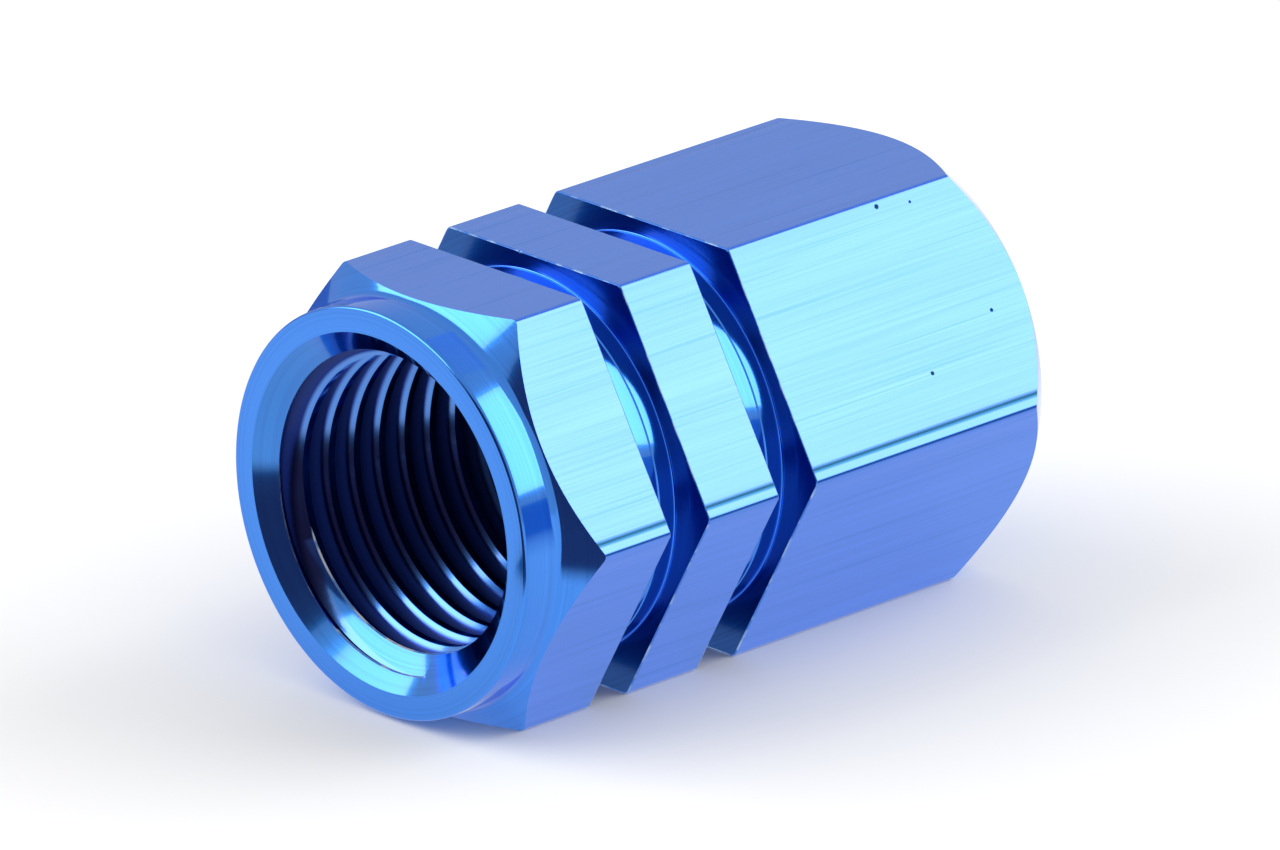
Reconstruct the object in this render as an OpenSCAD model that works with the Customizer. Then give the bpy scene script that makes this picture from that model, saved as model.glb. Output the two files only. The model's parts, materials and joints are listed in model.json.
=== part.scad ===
// Tyre valve cap, turned from hexagonal aluminium bar and anodised blue.
// The cap lies on one flat of the bar. X runs along the bore, with the open mouth towards -X
// and the closed end towards +X, and Z = 0 is the surface that it lies on. Millimetres.

/* [Hexagonal bar] */
// Distance across the flats of the bar
across_flats = 10; // [9.6:0.1:12]

/* [Lengths along the axis, from the mouth] */
// Round collar at the mouth
collar_length = 1; // [0.5:0.1:2]
// From the collar to the first groove, with the cone that bares the collar
front_land_length = 2.75; // [2:0.05:5]
// Between the two grooves
middle_land_length = 2.2; // [0.8:0.1:5]
// From the second groove to the closed end, with the cone at that end
rear_land_length = 8.05; // [5.5:0.05:12]

/* [Turned outside] */
// Diameter of the collar
collar_d = 9.8; // [9.4:0.05:10.4]
// Break on the collar's edge at the mouth
mouth_edge_break = 0.1; // [0.05:0.01:0.2]
// Angle of the cone behind the collar, from the axis
front_cone_angle = 50; // [42:1:65]
// Diameter of the flat face at the closed end
end_face_d = 9.8; // [7.5:0.05:10.4]
// Angle of the cone at the closed end, from the axis
end_cone_angle = 40; // [30:1:60]

/* [Grooves] */
// Width of each groove
groove_width = 1.2; // [0.6:0.05:2]
// Diameter left at the bottom of the grooves
groove_d = 9.2; // [8.6:0.05:9.5]

/* [Bore] */
// Diameter of the countersink at the mouth
countersink_d = 8.6; // [8:0.05:8.9]
// Angle of the countersink, from the axis
countersink_angle = 45; // [30:1:60]
// Diameter of the tapped hole at the crests of its thread
bore_d = 7; // [6.6:0.05:7.4]
// Full-width depth of the hole, from the mouth
bore_depth = 10.5; // [7:0.1:12]
// Point angle of the drill that made the hole
drill_point_angle = 118; // [90:1:140]

/* [Hidden] */
$fn = 96;

flat_r = across_flats / 2;
corner_r = flat_r / cos(30);
// How far a cutting tool runs past the metal, and the radius that it then works at
overrun = 1;
clear_r = corner_r + overrun;

// Stations along the axis, measured from the mouth
front_groove_at = collar_length + front_land_length;
rear_groove_at = front_groove_at + groove_width + middle_land_length;
cap_length = rear_groove_at + groove_width + rear_land_length;

// Where each cone, carried on past the corners of the bar, reaches the clear radius
front_cone_end = collar_length + (clear_r - collar_d / 2) / tan(front_cone_angle);
end_cone_start = cap_length - (clear_r - end_face_d / 2) / tan(end_cone_angle);

// How wide the countersink, carried on out of the mouth, has become when its tool is clear
countersink_clear_r = countersink_d / 2 + overrun * tan(countersink_angle);

// Where the countersink meets the bore, and where the drill's point ends
countersink_end = (countersink_d - bore_d) / 2 / tan(countersink_angle);
point_end = bore_depth + bore_d / 2 / tan(drill_point_angle / 2);

// Length of hexagonal bar, with a flat face below the axis and another above it
module hex_bar() {
    rotate([0, 0, 30]) cylinder(r = corner_r, h = cap_length, $fn = 6);
}

// Half section that the lathe leaves: collar with its broken edge, cone, full bar, cone and end face
module turned_outline() {
    polygon([
        [0, 0],
        [collar_d / 2 - mouth_edge_break, 0],
        [collar_d / 2, mouth_edge_break],
        [collar_d / 2, collar_length],
        [clear_r, front_cone_end],
        [clear_r, end_cone_start],
        [end_face_d / 2, cap_length],
        [0, cap_length]
    ]);
}

// Square groove cut round the bar at a station along the axis
module groove(station) {
    translate([0, 0, station]) difference() {
        cylinder(r = clear_r, h = groove_width);
        translate([0, 0, -overrun]) cylinder(d = groove_d, h = groove_width + 2 * overrun);
    }
}

// Half section of the hole: countersink, tapping size and the drill's point
module hole_outline() {
    polygon([
        [0, -overrun],
        [countersink_clear_r, -overrun],
        [bore_d / 2, countersink_end],
        [bore_d / 2, bore_depth],
        [0, point_end]
    ]);
}

// The whole cap, one piece of metal, modelled upright with its mouth at the bottom and then laid down
module cap_body() {
    color("royalblue")
    translate([-cap_length / 2, 0, flat_r])
    rotate([0, 90, 0])
    difference() {
        intersection() {
            hex_bar();
            rotate_extrude() turned_outline();
        }
        groove(front_groove_at);
        groove(rear_groove_at);
        rotate_extrude() hole_outline();
    }
}

cap_body();
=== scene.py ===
import json
from math import cos, pi, radians, sin, tan

import bmesh
import bpy
from mathutils import Matrix, Vector


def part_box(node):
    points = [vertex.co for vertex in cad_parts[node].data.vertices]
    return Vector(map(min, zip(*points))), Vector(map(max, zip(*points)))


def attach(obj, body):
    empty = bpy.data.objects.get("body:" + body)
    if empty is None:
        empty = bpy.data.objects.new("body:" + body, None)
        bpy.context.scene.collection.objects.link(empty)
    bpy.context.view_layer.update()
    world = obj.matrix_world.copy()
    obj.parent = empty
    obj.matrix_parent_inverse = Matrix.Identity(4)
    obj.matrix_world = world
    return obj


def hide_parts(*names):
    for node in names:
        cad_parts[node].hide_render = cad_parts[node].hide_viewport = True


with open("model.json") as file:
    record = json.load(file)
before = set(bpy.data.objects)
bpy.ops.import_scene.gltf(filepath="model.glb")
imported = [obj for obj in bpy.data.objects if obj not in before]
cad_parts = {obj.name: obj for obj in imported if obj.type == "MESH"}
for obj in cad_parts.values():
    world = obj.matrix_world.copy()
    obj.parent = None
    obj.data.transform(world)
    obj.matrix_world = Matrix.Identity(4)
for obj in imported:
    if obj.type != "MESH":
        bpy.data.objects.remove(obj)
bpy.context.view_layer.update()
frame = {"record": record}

# Bar. The cap starts as hexagonal aluminium bar, drawn at the mill, which leaves fine lines along its
# flats. The finished cap is bright dipped and dyed blue under a clear oxide skin. Three lengths of the
# bar remain, before, between and behind two grooves. Here they run past the ends, to be turned off.
MM = 1000
low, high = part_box("cap_body")
mouth_x = low.x * MM
cap_length = (high.x - low.x) * MM
axis_z = (low.z + high.z) / 2 * MM
corner_r = (high.y - low.y) / 2 * MM
front_groove = 3.75
middle_land = 2.2
groove_width = 1.2
rear_groove = front_groove + groove_width + middle_land
turned_off = 1
corner_break = 0.1
cut_break = 0.03
OXIDE_IOR = 1.5


def new_material(name, colour, edge_tint, roughness, skin_roughness):
    """Dyed metal under a clear oxide skin. Returns the material with its node tree and its shader."""
    material = bpy.data.materials.new(name)
    material.use_nodes = True
    shader = material.node_tree.nodes["Principled BSDF"]
    shader.inputs["Base Color"].default_value = (*colour, 1)
    shader.inputs["Specular Tint"].default_value = (*edge_tint, 1)
    shader.inputs["Metallic"].default_value = 1
    shader.inputs["Roughness"].default_value = roughness
    shader.inputs["Coat Weight"].default_value = 1
    shader.inputs["Coat IOR"].default_value = OXIDE_IOR
    shader.inputs["Coat Roughness"].default_value = skin_roughness
    return material, material.node_tree, shader


def add_node(tree, kind, settings=None, inputs=None):
    """Adds a node, sets its properties, and sets or links its inputs."""
    node = tree.nodes.new(kind)
    for name, value in (settings or {}).items():
        setattr(node, name, value)
    for key, value in (inputs or {}).items():
        if isinstance(value, bpy.types.NodeSocket):
            tree.links.new(value, node.inputs[key])
        else:
            node.inputs[key].default_value = value
    return node


def calc(tree, operation, *values):
    """One step of arithmetic on numbers or on other nodes' outputs."""
    node = add_node(tree, "ShaderNodeMath", {"operation": operation}, dict(enumerate(values)))
    return node.outputs["Value"]


def place_in_mm(tree):
    """Object coordinates in millimetres, with the cap's axis brought to their zero, whole and in parts."""
    coordinates = add_node(tree, "ShaderNodeTexCoord")
    place = add_node(tree, "ShaderNodeMapping", {"vector_type": "POINT"},
                     {"Vector": coordinates.outputs["Object"], "Scale": (MM, MM, MM),
                      "Location": (0, 0, -axis_z)})
    parts = add_node(tree, "ShaderNodeSeparateXYZ", None, {"Vector": place.outputs["Vector"]})
    return place.outputs["Vector"], parts.outputs["X"], parts.outputs["Y"], parts.outputs["Z"]


def squared_radius(tree, across, height):
    """Square of the distance from the cap's axis."""
    return calc(tree, "ADD", calc(tree, "MULTIPLY", across, across), calc(tree, "MULTIPLY", height, height))


def noise(tree, place, scale, detail=2.0):
    """Noise with its own number of cycles in a millimetre along each axis."""
    stretched = add_node(tree, "ShaderNodeMapping", None, {"Vector": place, "Scale": scale})
    pattern = add_node(tree, "ShaderNodeTexNoise", {"noise_dimensions": "3D"},
                       {"Vector": stretched.outputs["Vector"], "Scale": 1.0, "Detail": detail})
    return pattern.outputs["Fac"]


def span(tree, value, from_low, from_high, to_low=0.0, to_high=1.0):
    """Brings a value from one range to another, clamped."""
    node = add_node(tree, "ShaderNodeMapRange", {"clamp": True},
                    {"Value": value, "From Min": from_low, "From Max": from_high,
                     "To Min": to_low, "To Max": to_high})
    return node.outputs["Result"]


def blend(tree, factor, first, second):
    """Colour between two colours or two nodes' colour outputs."""
    mix = add_node(tree, "ShaderNodeMix", {"data_type": "RGBA"}, {"Factor": factor})
    for socket, colour in ((mix.inputs[6], first), (mix.inputs[7], second)):
        if isinstance(colour, bpy.types.NodeSocket):
            tree.links.new(colour, socket)
        else:
            socket.default_value = (*colour, 1)
    return mix.outputs[2]


def add_relief(tree, shader, relief):
    """Bumps the surface by a height in millimetres."""
    bump = add_node(tree, "ShaderNodeBump", None, {"Strength": 1.0, "Distance": 1 / MM, "Height": relief})
    tree.links.new(bump.outputs["Normal"], shader.inputs["Normal"])


def drawn_finish():
    """The bar's flats: long drawing lines, faint cloudiness, soft shoulders and one dark line of painted
    shade by a corner.
    """
    deep_blue, light_blue = (0.08, 0.235, 0.82), (0.1, 0.265, 0.92)
    # The second colour here is painted shade, for the dark line by the lower corner of the upper -Y flat.
    line_blue, shade_line_blue = (0.03, 0.16, 0.4), (0.015, 0.11, 0.2)
    # Distances from the flat's middle: the painted shade line, the shoulder's start and the corner's edge.
    shade_line, shoulder_line, edge_line = 2.57, 2.25, 2.78
    material, tree, shader = new_material("drawn_flats", (0.08, 0.25, 0.8), (0.45, 0.65, 1.0), 0.15, 0.05)
    place, along, across, height = place_in_mm(tree)
    fine = noise(tree, place, (0.14, 15, 15), 3.0)
    broad = noise(tree, place, (0.07, 1.5, 1.5), 1.0)
    streaks = noise(tree, place, (0.12, 11, 11), 1.0)
    dyed = calc(tree, "MULTIPLY_ADD", broad, 0.45, fine)
    tone = blend(tree, span(tree, dyed, 0.5, 0.95), deep_blue, light_blue)
    scratch = calc(tree, "MULTIPLY", span(tree, streaks, 0.6, 0.74), 0.2)
    tone = blend(tree, scratch, tone, line_blue)

    # Painted shade: a dark line runs by the lower edge of the upper flat on the -Y side, and the edge
    # itself is painted darker too
    from_flat = calc(tree, "SUBTRACT", squared_radius(tree, across, height), axis_z ** 2)
    from_middle = calc(tree, "SQRT", calc(tree, "MAXIMUM", from_flat, 0.0))
    painted_shade = calc(tree, "MINIMUM", span(tree, from_middle, shade_line - 0.12, shade_line - 0.04),
                 span(tree, from_middle, shade_line + 0.03, shade_line + 0.08, 1.0, 0.0))
    painted_shade = calc(tree, "MAXIMUM", painted_shade, span(tree, from_middle, edge_line, edge_line + 0.02, 0.0, 0.5))
    painted_shade = calc(tree, "MULTIPLY", painted_shade, calc(tree, "LESS_THAN", across, -axis_z))
    painted_shade = calc(tree, "MULTIPLY", painted_shade, calc(tree, "GREATER_THAN", height, 0.0))
    tone = blend(tree, calc(tree, "MULTIPLY", painted_shade, 0.95), tone, shade_line_blue)
    tree.links.new(tone, shader.inputs["Base Color"])
    # The oxide skin is thinned on the drawing lines, and also on the dark line by the corner as painted
    # shade.
    thinned = calc(tree, "MAXIMUM", calc(tree, "MULTIPLY", painted_shade, 0.85),
                   calc(tree, "MULTIPLY", scratch, 1.2))
    tree.links.new(span(tree, thinned, 0.0, 1.0, 0.85, 0.0), shader.inputs["Coat Weight"])
    tree.links.new(span(tree, dyed, 0.5, 1.1, 0.2, 0.12), shader.inputs["Roughness"])

    # The flat falls away a little from its shoulder to the painted shade line
    past_shoulder = calc(tree, "MAXIMUM", calc(tree, "SUBTRACT", from_middle, shoulder_line), 0.0)
    shoulder = calc(tree, "MINIMUM", past_shoulder, shade_line - shoulder_line)
    rolled = calc(tree, "MULTIPLY", calc(tree, "MULTIPLY", shoulder, shoulder), -0.28)
    relief = calc(tree, "MULTIPLY_ADD", dyed, 0.0005, rolled)
    relief = calc(tree, "MULTIPLY_ADD", span(tree, streaks, 0.6, 0.72), -0.0005, relief)
    add_relief(tree, shader, relief)
    return material


def turned_finish(name, dark, light, roughness, skin_roughness, relief_height):
    """Everything that the lathe cut: rings that depend only on the station and the radius."""
    material, tree, shader = new_material(name, light, (0.2, 0.5, 1.0), roughness, skin_roughness)
    place, along, across, height = place_in_mm(tree)
    radius = calc(tree, "SQRT", squared_radius(tree, across, height))
    section = add_node(tree, "ShaderNodeCombineXYZ", None, {"X": along, "Y": radius})
    rings = noise(tree, section.outputs["Vector"], (14, 14, 0), 3.0)
    chatter = noise(tree, place, (3, 3, 3), 2.0)
    tree.links.new(blend(tree, span(tree, rings, 0.3, 0.7), dark, light), shader.inputs["Base Color"])
    add_relief(tree, shader, calc(tree, "MULTIPLY", calc(tree, "MULTIPLY_ADD", chatter, 0.5, rings),
                                  relief_height))
    return material


def worn_finish(name, dyed, bare, roughness):
    """Small worn places, with the dye thin and the metal bare in short lengths."""
    material, tree, shader = new_material(name, dyed, (0.4, 0.6, 1.0), roughness, 0.1)
    place = place_in_mm(tree)[0]
    worn = span(tree, noise(tree, place, (1.6, 1.6, 1.6), 3.0), 0.5, 0.62)
    tree.links.new(blend(tree, worn, dyed, bare), shader.inputs["Base Color"])
    return material


def thin_skin(material, weight):
    """Leaves a finish only part of its clear oxide skin."""
    material.node_tree.nodes["Principled BSDF"].inputs["Coat Weight"].default_value = weight


drawn_flats = drawn_finish()
cut_edges = worn_finish("cut_edges", (0.04, 0.2, 0.75), (0.35, 0.55, 0.9), 0.25)
# The groove walls are painted in shade: darker than the other turned faces, and with less of the oxide
# skin.
groove_walls_painted_shade = turned_finish("groove_walls_painted_shade", (0.015, 0.08, 0.3), (0.02, 0.11, 0.4), 0.24, 0.12, 0.002)
thin_skin(groove_walls_painted_shade, 0.4)


def add_edited(name, material, location, add_primitive, **sizes):
    """Adds a primitive with its material and opens it for editing, with nothing else selected."""
    bpy.ops.object.select_all(action="DESELECT")
    add_primitive(location=location, enter_editmode=False, **sizes)
    shape = bpy.context.object
    shape.name = name
    shape.data.materials.append(material)
    bpy.ops.object.mode_set(mode="EDIT")
    return shape


def pick_edges(shape, wanted):
    """Selects the edges for which wanted(first end, second end) holds."""
    bpy.ops.mesh.select_mode(type="EDGE")
    bpy.ops.mesh.select_all(action="DESELECT")
    mesh = bmesh.from_edit_mesh(shape.data)
    for edge in mesh.edges:
        first, second = (shape.matrix_world @ vertex.co for vertex in edge.verts)
        edge.select_set(wanted(first, second))
    bmesh.update_edit_mesh(shape.data)


def hex_land(name, start, end):
    """Length of hexagonal bar between two stations, with rounded corners and broken cut edges."""
    middle = (mouth_x + (start + end) / 2, 0, axis_z)
    bar = add_edited(name, drawn_flats, middle, bpy.ops.mesh.primitive_cylinder_add, vertices=6,
                     radius=corner_r, depth=end - start, rotation=(0, pi / 2, 0))
    bar.data.materials.append(cut_edges)
    bar.data.materials.append(groove_walls_painted_shade)
    pick_edges(bar, lambda first, second: abs(first.x - second.x) > 0.1)
    bpy.ops.mesh.bevel(offset=corner_break, segments=4, affect="EDGES")
    pick_edges(bar, lambda first, second: abs(first.x - second.x) < 0.001)
    bpy.ops.mesh.bevel(offset=cut_break, segments=2, affect="EDGES",
                       material=bar.data.materials.find("cut_edges"))
    # The land's end faces become the groove walls, which are painted in shade.
    mesh = bmesh.from_edit_mesh(bar.data)
    for face in mesh.faces:
        if abs(face.normal.z) > 0.99:
            face.material_index = bar.data.materials.find("groove_walls_painted_shade")
    bmesh.update_edit_mesh(bar.data)
    bpy.ops.object.mode_set(mode="OBJECT")
    bpy.ops.object.transform_apply(location=True, rotation=True, scale=True)
    return bar


def combine(target, other, operation):
    """Joins, keeps or cuts away another form, which is then gone."""
    bpy.ops.object.select_all(action="DESELECT")
    bpy.context.view_layer.objects.active = target
    target.select_set(True)
    modifier = target.modifiers.new(operation.lower(), "BOOLEAN")
    modifier.operation = operation
    modifier.solver = "EXACT"
    modifier.material_mode = "TRANSFER"
    modifier.object = other
    bpy.ops.object.modifier_apply(modifier=modifier.name)
    bpy.data.objects.remove(other)


cap = hex_land("cap_metal", -turned_off, front_groove)
combine(cap, hex_land("middle_land", front_groove + groove_width, rear_groove), "UNION")
combine(cap, hex_land("rear_land", rear_groove + groove_width, cap_length + turned_off), "UNION")

# Core. Two square grooves, cut in two passes each by a tool with a rounded nose, leave a round core
# between the lands, all of one piece with them.
groove_r = 4.6
tool_nose = 0.03
PASS_LINE_DEPTH = 0.02
PASS_LINE_HALF = 0.03
WALL_GAP = 0.002
CORE_END = 2
TURNED_STEPS = 192
turned_faces = turned_finish("turned_faces", (0.02, 0.215, 0.8), (0.035, 0.265, 0.92), 0.12, 0.04, 0.0005)


def add_line(name, material, points):
    """Line through points, drawn by extruding one vertex, and left open for editing."""
    line = add_edited(name, material, (0, 0, 0), bpy.ops.mesh.primitive_plane_add, size=0.1)
    bpy.ops.mesh.select_mode(type="VERT")
    bpy.ops.mesh.merge(type="CENTER")
    here = Vector((0, 0, 0))
    for count, there in enumerate(points):
        if count == 0:
            bpy.ops.transform.translate(value=there - here)
        else:
            bpy.ops.mesh.extrude_region_move(TRANSFORM_OT_translate={"value": there - here})
        here = there
    return line


def turned_form(name, material, outline):
    """Solid turned round the axis. Outline points are (station, radius, rounding)."""
    corners = [Vector((mouth_x + station, 0, axis_z + radius)) for station, radius, rounding in outline]
    shape = add_line(name, material, corners)
    for corner, (station, radius, rounding) in zip(corners, outline):
        if not rounding:
            continue
        bpy.ops.mesh.select_mode(type="VERT")
        bpy.ops.mesh.select_all(action="DESELECT")
        mesh = bmesh.from_edit_mesh(shape.data)
        nearest = min(mesh.verts, key=lambda vertex: (vertex.co - corner).length)
        nearest.select_set(True)
        bmesh.update_edit_mesh(shape.data)
        bpy.ops.mesh.bevel(offset=rounding, segments=6, affect="VERTICES")
    bpy.ops.mesh.select_all(action="SELECT")
    bpy.ops.mesh.spin(steps=TURNED_STEPS, angle=2 * pi, center=(0, 0, axis_z), axis=(1, 0, 0))
    bpy.ops.mesh.select_all(action="SELECT")
    bpy.ops.mesh.remove_doubles(threshold=0.0005)
    bpy.ops.mesh.normals_make_consistent(inside=False)
    bpy.ops.object.mode_set(mode="OBJECT")
    return shape


def groove_bottom(start):
    """Outline of a groove's bottom: tool-nose corners at its walls and the line between two passes."""
    pass_line = start + groove_width * 0.6
    return [
        (start + WALL_GAP, groove_r + tool_nose * 2, 0),
        (start + WALL_GAP, groove_r, tool_nose),
        (pass_line - PASS_LINE_HALF, groove_r, 0),
        (pass_line, groove_r - PASS_LINE_DEPTH, 0),
        (pass_line + PASS_LINE_HALF, groove_r, 0),
        (start + groove_width - WALL_GAP, groove_r, tool_nose),
        (start + groove_width - WALL_GAP, groove_r + tool_nose * 2, 0),
    ]


collar_length = 1.0
core = turned_form("core", turned_faces, [
    (collar_length, 0, 0),
    (collar_length, groove_r + tool_nose * 2, 0),
    *groove_bottom(front_groove),
    *groove_bottom(rear_groove),
    (cap_length - CORE_END, groove_r + tool_nose * 2, 0),
    (cap_length - CORE_END, 0, 0),
])
combine(cap, core, "UNION")

# Turned outside. The lathe leaves a round collar at the mouth, a cone behind it and another at the closed
# end. The cones cross the six flats in arcs. Only what lies inside this form is kept of the bar.
collar_r = 4.9
front_cone = radians(50)
end_face_r = 4.9
end_cone = radians(40)
clear_r = corner_r + 1
turned_outside = turned_form("turned_outside", turned_faces, [
    (0, 0, 0),
    (0, collar_r, 0.08),
    (collar_length, collar_r, 0.12),
    (collar_length + (clear_r - collar_r) / tan(front_cone), clear_r, 0),
    (cap_length - (clear_r - end_face_r) / tan(end_cone), clear_r, 0),
    (cap_length, end_face_r, 0.12),
    (cap_length, 0, 0),
])
combine(cap, turned_outside, "INTERSECT")

# Hole. A 45 degree countersink leads into the drilled hole, which ends blind in the drill's point. The
# thread roots and the blind end are painted in shade, dark and dull.
thread_mount = next(m for m in frame["record"]["mounts"] if m["name"] == "valve_thread")
bore_r = thread_mount["dims"]["r_mm"]
bore_middle = thread_mount["pos_m"][0] * MM - mouth_x
bore_start = bore_middle - thread_mount["dims"]["length_mm"] / 2
bore_end = bore_middle + thread_mount["dims"]["length_mm"] / 2
countersink_r = 4.3
drill_point = radians(59)


def tapped_finish():
    """The hole: turned rings, bright thread flanks, and painted shade in the thread roots and at the blind
    end.
    """
    # The last two colours are painted shade, for the thread roots and for the blind end.
    flank_blue, root_shade_blue, blind_end_shade_blue = (0.075, 0.25, 0.74), (0.012, 0.03, 0.22), (0.01, 0.02, 0.08)
    dim_from = bore_start + 5
    roughness = 0.14
    material = turned_finish("hole_faces", (0.02, 0.19, 0.66), (0.03, 0.24, 0.76), roughness, 0.06, 0.0006)
    tree = material.node_tree
    shader = tree.nodes["Principled BSDF"]
    place, along, across, height = place_in_mm(tree)
    radius = calc(tree, "SQRT", squared_radius(tree, across, height))
    tone = shader.inputs["Base Color"].links[0].from_socket
    countersink = calc(tree, "SUBTRACT", mouth_x + countersink_r, along)
    depth = calc(tree, "SUBTRACT", radius, calc(tree, "MAXIMUM", countersink, bore_r))
    # Painted shade: the thread roots, from 0.08 mm deep, and the hole beyond dim_from are darkened, lose
    # their metal and turn rough, so they mirror little.
    root_shade = span(tree, depth, 0.08, 0.15)
    blind = span(tree, along, mouth_x + dim_from, mouth_x + dim_from + 1.2)
    tone = blend(tree, span(tree, depth, 0.005, 0.02), tone, flank_blue)
    tone = blend(tree, root_shade, tone, root_shade_blue)
    tone = blend(tree, blind, tone, blind_end_shade_blue)
    tree.links.new(tone, shader.inputs["Base Color"])
    dull = calc(tree, "MAXIMUM", span(tree, depth, 0.14, 0.22), blind)
    tree.links.new(span(tree, dull, 0.0, 1.0, 1.0, 0.2), shader.inputs["Metallic"])
    tree.links.new(span(tree, dull, 0.0, 1.0, roughness, 0.5), shader.inputs["Roughness"])
    # The oxide skin is taken off where the roots and the blind end are painted in shade.
    bare = calc(tree, "MAXIMUM", root_shade, blind)
    tree.links.new(span(tree, bare, 0.0, 1.0, 1.0, 0.1), shader.inputs["Coat Weight"])
    return material


hole_faces = tapped_finish()
hole = turned_form("hole", hole_faces, [
    (-1, 0, 0),
    (-1, countersink_r + 1, 0),
    (bore_start, bore_r, 0),
    (bore_end, bore_r, 0),
    (bore_end + bore_r / tan(drill_point), 0, 0),
])
combine(cap, hole, "DIFFERENCE")

# Thread. A tap cuts the standard valve thread, right hand, from the countersink nearly to the blind end.
# Its flanks are 60 degrees apart and it leaves the crests sharp. The first turn starts out in the air.
pitch = 25.4 / 32
root_r = 3.93
root_half = pitch / 16
flank = radians(30)
inner_r = bore_r - 0.05
inner_half = root_half + (root_r - inner_r) * tan(flank)
first_turn = mouth_x - 0.04
tap_runout = 0.8
turns = int((mouth_x + bore_end - tap_runout - first_turn) / pitch)
thread_section = [(-root_half, root_r), (root_half, root_r), (inner_half, inner_r), (-inner_half, inner_r),
                  (-root_half, root_r)]
coil = add_line("thread_coil", hole_faces, [
    Vector((first_turn + station, 0, axis_z + radius)) for station, radius in thread_section])
bpy.ops.mesh.select_all(action="SELECT")
bpy.ops.mesh.remove_doubles(threshold=0.0005)
bpy.ops.object.mode_set(mode="OBJECT")
bpy.context.scene.cursor.location = (0, 0, axis_z)
bpy.ops.object.origin_set(type="ORIGIN_CURSOR")
screw = coil.modifiers.new("turns", "SCREW")
screw.axis = "X"
screw.angle = 2 * pi
screw.screw_offset = pitch
screw.iterations = turns
screw.steps = screw.render_steps = 96
screw.use_merge_vertices = False
bpy.ops.object.modifier_apply(modifier=screw.name)
bpy.ops.object.mode_set(mode="EDIT")
bpy.ops.mesh.select_all(action="SELECT")
bpy.ops.mesh.fill_holes(sides=6)
bpy.ops.mesh.select_all(action="SELECT")
bpy.ops.mesh.normals_make_consistent(inside=False)
bpy.ops.object.mode_set(mode="OBJECT")
bpy.ops.object.transform_apply(location=True, rotation=True, scale=True)
combine(cap, coil, "DIFFERENCE")

# Burrs. Where the tap's first turn breaks out through the countersink it leaves a torn rim, uneven and
# nearly bare of dye. They are the sharp edges that lie on the countersink's cone.
burr_width = 0.03
burrs = worn_finish("burrs", (0.2, 0.4, 0.8), (0.85, 0.9, 0.95), 0.55)
cap.data.materials.append(burrs)
bpy.ops.object.select_all(action="DESELECT")
cap.select_set(True)
bpy.context.view_layer.objects.active = cap
bpy.ops.object.mode_set(mode="EDIT")
bpy.ops.mesh.select_all(action="SELECT")
bpy.ops.mesh.remove_doubles(threshold=0.0008)
bpy.ops.mesh.select_mode(type="EDGE")
bpy.ops.mesh.select_all(action="DESELECT")


def on_countersink(point):
    """Whether a point lies on the countersink's cone, inside the mouth's own rim."""
    inside = point.x - mouth_x
    radius = Vector((point.y, point.z - axis_z)).length
    return inside > 0.01 and abs(radius + inside - countersink_r) < 0.003


mesh = bmesh.from_edit_mesh(cap.data)
for edge in mesh.edges:
    if all(on_countersink(vertex.co) for vertex in edge.verts):
        if edge.is_manifold and edge.calc_face_angle() > radians(20):
            edge.select_set(True)
bmesh.update_edit_mesh(cap.data)
bpy.ops.mesh.bevel(offset=burr_width, segments=1, affect="EDGES",
                   material=cap.data.materials.find("burrs"))
bpy.ops.object.mode_set(mode="OBJECT")

# Small marks. Handling has left pits in the upper flat on the -Y side, given by station, distance down
# from its upper edge and size, and a chip in the front edge of the middle land.
pit_marks = [(13.0, 0.16, 0.095), (14.0, 0.3, 0.06), (15.15, 3.28, 0.075), (12.78, 4.22, 0.08)]
chip_y = 0.46
chip_size = 0.075
pits = worn_finish("pits", (0.015, 0.1, 0.13), (0.04, 0.2, 0.25), 0.6)
thin_skin(pits, 0.1)


def dent(size, place, finish):
    """Takes a small round bite out of the cap."""
    bpy.ops.object.select_all(action="DESELECT")
    bpy.ops.mesh.primitive_ico_sphere_add(subdivisions=2, radius=size, location=place)
    bite = bpy.context.object
    bite.data.materials.append(finish)
    combine(cap, bite, "DIFFERENCE")


for station, from_edge, size in pit_marks:
    down = from_edge / corner_r
    pit_y = -corner_r * (0.5 + 0.5 * down)
    pit_z = corner_r * cos(radians(30)) * (1 - down)
    outward = Vector((0, -cos(radians(30)), 0.5)) * size * 0.7
    dent(size, Vector((mouth_x + station, pit_y, axis_z + pit_z)) + outward, pits)
dent(chip_size, (mouth_x + front_groove + groove_width, chip_y, axis_z * 2 + 0.02), drawn_flats)

# Finished metal. Stray points on straight edges are dissolved, the cap is brought to metres and shaded
# smooth between its crisp edges, and it stands for the part's one solid.
bpy.ops.object.select_all(action="DESELECT")
cap.select_set(True)
bpy.context.view_layer.objects.active = cap
bpy.ops.object.mode_set(mode="EDIT")
bpy.ops.mesh.select_all(action="SELECT")
bpy.ops.mesh.remove_doubles(threshold=0.0008)
bpy.ops.mesh.select_mode(type="VERT")
bpy.ops.mesh.select_all(action="DESELECT")
mesh = bmesh.from_edit_mesh(cap.data)
for vertex in mesh.verts:
    vertex.select_set(len(vertex.link_edges) == 2)
bmesh.update_edit_mesh(cap.data)
bpy.ops.mesh.dissolve_verts()
bpy.ops.mesh.select_all(action="SELECT")
bpy.ops.mesh.normals_make_consistent(inside=False)
bpy.ops.object.mode_set(mode="OBJECT")
cap.scale = (1 / MM, 1 / MM, 1 / MM)
bpy.ops.object.transform_apply(location=True, rotation=True, scale=True)
bpy.ops.object.shade_smooth_by_angle(angle=radians(20))
weighted = cap.modifiers.new("even_flats", "WEIGHTED_NORMAL")
weighted.keep_sharp = True
bpy.ops.object.modifier_apply(modifier=weighted.name)
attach(cap, "root")
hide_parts("cap_body")

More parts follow.
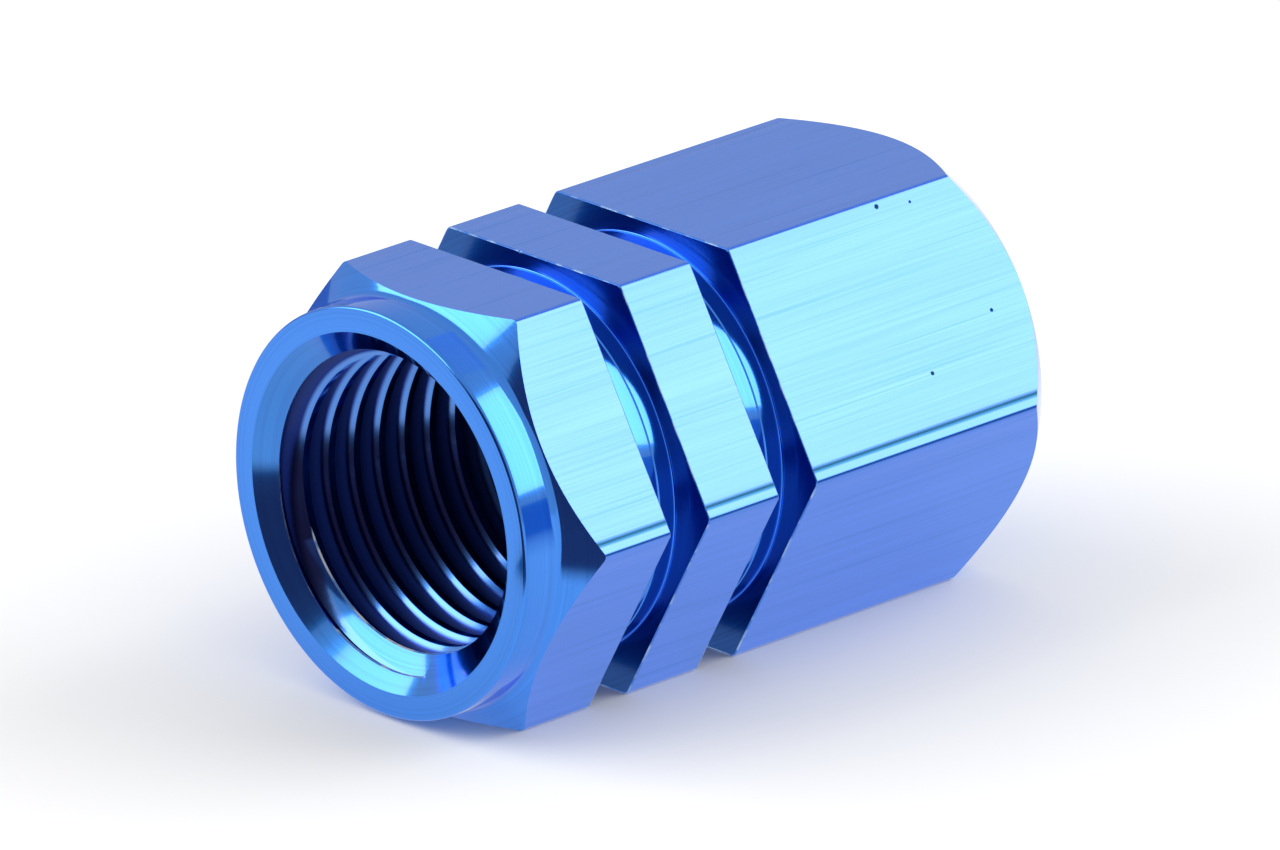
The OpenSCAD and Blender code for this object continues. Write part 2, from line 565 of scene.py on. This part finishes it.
# Floor. A plain white table top, wide enough to fill every view. To the metal it looks a little brighter
# than it is lit, as the white ground of a studio does.
FLOOR_SIZE = 6
bpy.ops.object.select_all(action="DESELECT")
bpy.ops.mesh.primitive_plane_add(size=FLOOR_SIZE, location=(0, 0, 0))
floor = bpy.context.object
floor.name = "floor"
table = bpy.data.materials.new("white_table")
table.use_nodes = True
tree = table.node_tree
paint = tree.nodes["Principled BSDF"]
paint.inputs["Base Color"].default_value = (0.93, 0.93, 0.93, 1)
paint.inputs["Roughness"].default_value = 0.9
paint.inputs["Specular IOR Level"].default_value = 0.0
glow = add_node(tree, "ShaderNodeEmission", None, {"Color": (1, 1, 1, 1), "Strength": 0.95})
rays = add_node(tree, "ShaderNodeLightPath")
share = calc(tree, "MULTIPLY", rays.outputs["Is Glossy Ray"], 0.6)
mixed = add_node(tree, "ShaderNodeMixShader", None, {0: share, 1: paint.outputs[0], 2: glow.outputs[0]})
tree.links.new(mixed.outputs[0], tree.nodes["Material Output"].inputs["Surface"])
floor.data.materials.append(table)

# Light. An even pale room, with one soft lamp to the right and one behind to the left, which give the
# metal its bright flat and cones.
middle = (low + high) / 2
LAMP_DISTANCE = 0.5
ROOM_LIGHT = 0.72
room = bpy.data.worlds.new("room")
bpy.context.scene.world = room
room.use_nodes = True
room_light = room.node_tree.nodes["Background"]
seen = add_node(room.node_tree, "ShaderNodeLightPath")
strength = span(room.node_tree, seen.outputs["Is Camera Ray"], 0.0, 1.0, ROOM_LIGHT, 1.0)
room.node_tree.links.new(strength, room_light.inputs["Strength"])
room_light.inputs["Color"].default_value = (1, 1, 1, 1)


def direction(azimuth, elevation):
    """Unit vector away from the cap. Azimuth 0 is towards -Y and 90 towards +X."""
    a, e = radians(azimuth), radians(elevation)
    return Vector((sin(a) * cos(e), -cos(a) * cos(e), sin(e)))


def soft_lamp(name, azimuth, elevation, width, height, radiance):
    """Rectangular lamp that faces the cap. Width and height are angles, and radiance 1 looks white."""
    data = bpy.data.lights.new(name, "AREA")
    data.shape = "RECTANGLE"
    data.size = 2 * LAMP_DISTANCE * tan(radians(width) / 2)
    data.size_y = 2 * LAMP_DISTANCE * tan(radians(height) / 2)
    data.energy = radiance * pi * data.size * data.size_y
    lamp = bpy.data.objects.new(name, data)
    bpy.context.scene.collection.objects.link(lamp)
    lamp.location = middle + direction(azimuth, elevation) * LAMP_DISTANCE
    lamp.rotation_euler = direction(azimuth, elevation).to_track_quat("Z", "Y").to_euler()
    lamp.visible_camera = False


soft_lamp("right_lamp", azimuth=55, elevation=32, width=52, height=40, radiance=2.4)
soft_lamp("back_left_lamp", azimuth=-134, elevation=34, width=52, height=36, radiance=2.6)

# Felts. Dark cloth out of the camera's sight, seen only by the metal, so that the mouth, the thread and
# the cones have something dark to mirror. All stand on the floor but the last, which hangs above.
DARK_FELT = (0.11, 0.085, 0.13)
BLACK_FELT = (0.05, 0.02, 0.035)
ABOVE_FLOOR = 0.0001
mouth_centre = Vector((low.x, 0, 0))


def hang_felt(screen, tone, fade):
    """Gives a screen its cloth, fading in over a length towards its own -Y, and hides it from view."""
    felt = bpy.data.materials.new(screen.name)
    felt.use_nodes = True
    tree = felt.node_tree
    cloth = tree.nodes["Principled BSDF"]
    cloth.inputs["Base Color"].default_value = (*tone, 1)
    cloth.inputs["Roughness"].default_value = 1.0
    cloth.inputs["Specular IOR Level"].default_value = 0.0
    place = add_node(tree, "ShaderNodeTexCoord").outputs["Object"]
    parts = add_node(tree, "ShaderNodeSeparateXYZ", None, {"Vector": place})
    tree.links.new(span(tree, parts.outputs["Y"], 0.0, -fade), cloth.inputs["Alpha"])
    screen.data.materials.append(felt)
    screen.visible_camera = False
    screen.visible_diffuse = False
    screen.visible_shadow = False


def felt_screen(name, tone, foot, azimuth, depth, width, height, fade):
    """Felt that lies on the floor from a foot line on, fading in, and stands up at its far end."""
    bpy.ops.object.select_all(action="DESELECT")
    bpy.ops.mesh.primitive_plane_add(size=1, location=(0, 0, 0))
    screen = bpy.context.object
    screen.name = name
    bpy.ops.object.mode_set(mode="EDIT")
    bpy.ops.transform.resize(value=(width, depth, 1))
    bpy.ops.transform.translate(value=(0, -depth / 2, ABOVE_FLOOR))
    pick_edges(screen, lambda first, second: max(first.y, second.y) < -depth * 0.9)
    bpy.ops.mesh.extrude_region_move(TRANSFORM_OT_translate={"value": (0, 0, height)})
    bpy.ops.object.mode_set(mode="OBJECT")
    screen.rotation_euler = (0, 0, radians(azimuth))
    screen.location = foot
    hang_felt(screen, tone, fade)


felt_screen("left_felt", DARK_FELT, mouth_centre + direction(-58, 0) * 0.009, azimuth=-58,
            depth=0.019, width=0.019, height=0.032, fade=0.003)
felt_screen("side_felt", DARK_FELT, mouth_centre + direction(-81, 0) * 0.024, azimuth=-81,
            depth=0.004, width=0.01, height=0.032, fade=0.003)
felt_screen("low_felt", BLACK_FELT, mouth_centre + Vector((-0.0085, 0.0005, ABOVE_FLOOR)), azimuth=-90,
            depth=0.016, width=0.007, height=0.0002, fade=0.001)
felt_screen("end_felt", BLACK_FELT, mouth_centre + Vector((-0.0205, 0.0045, ABOVE_FLOOR)), azimuth=-90,
            depth=0.004, width=0.015, height=0.0155, fade=0.003)
felt_screen("right_felt", (0.1, 0.24, 0.5), direction(40, 0) * 0.014, azimuth=40,
            depth=0.04, width=0.04, height=0.012, fade=0.03)
felt_screen("back_felt", (0.2, 0.3, 0.5), direction(163, 0) * 0.04, azimuth=163,
            depth=0.02, width=0.06, height=0.0155, fade=0.01)

HIGH_FELT_DISTANCE = 0.3
towards_high_felt = direction(100, 66)
bpy.ops.object.select_all(action="DESELECT")
bpy.ops.mesh.primitive_plane_add(size=0.26)
high_felt = bpy.context.object
high_felt.name = "high_felt"
high_felt.scale = (0.5, 1, 1)
high_felt.rotation_euler = towards_high_felt.to_track_quat("Z", "Y").to_euler()
high_felt.location = middle + towards_high_felt * HIGH_FELT_DISTANCE
hang_felt(high_felt, (0.36, 0.5, 0.8), 0.09)

# Camera. It looks down on the cap from the mouth's side, as the photograph does, with a long lens that
# keeps the bar's edges almost parallel.
VIEW_AZIMUTH = -43.03
VIEW_ELEVATION = 20.31
VIEW_DISTANCE = 0.472
VIEW_ROLL = -0.96
camera_data = bpy.data.cameras.new("camera")
camera = bpy.data.objects.new("camera", camera_data)
bpy.context.scene.collection.objects.link(camera)
bpy.context.scene.camera = camera
camera_data.sensor_width = 36
camera_data.lens = 575
camera_data.clip_start = 0.01
camera_data.clip_end = 20
back = direction(VIEW_AZIMUTH, VIEW_ELEVATION)
camera.location = middle + back * VIEW_DISTANCE
camera.rotation_mode = "QUATERNION"
roll = Matrix.Rotation(radians(VIEW_ROLL), 3, back).to_quaternion()
camera.rotation_quaternion = roll @ (-back).to_track_quat("-Z", "Y")
bpy.context.scene.view_settings.view_transform = "Standard"
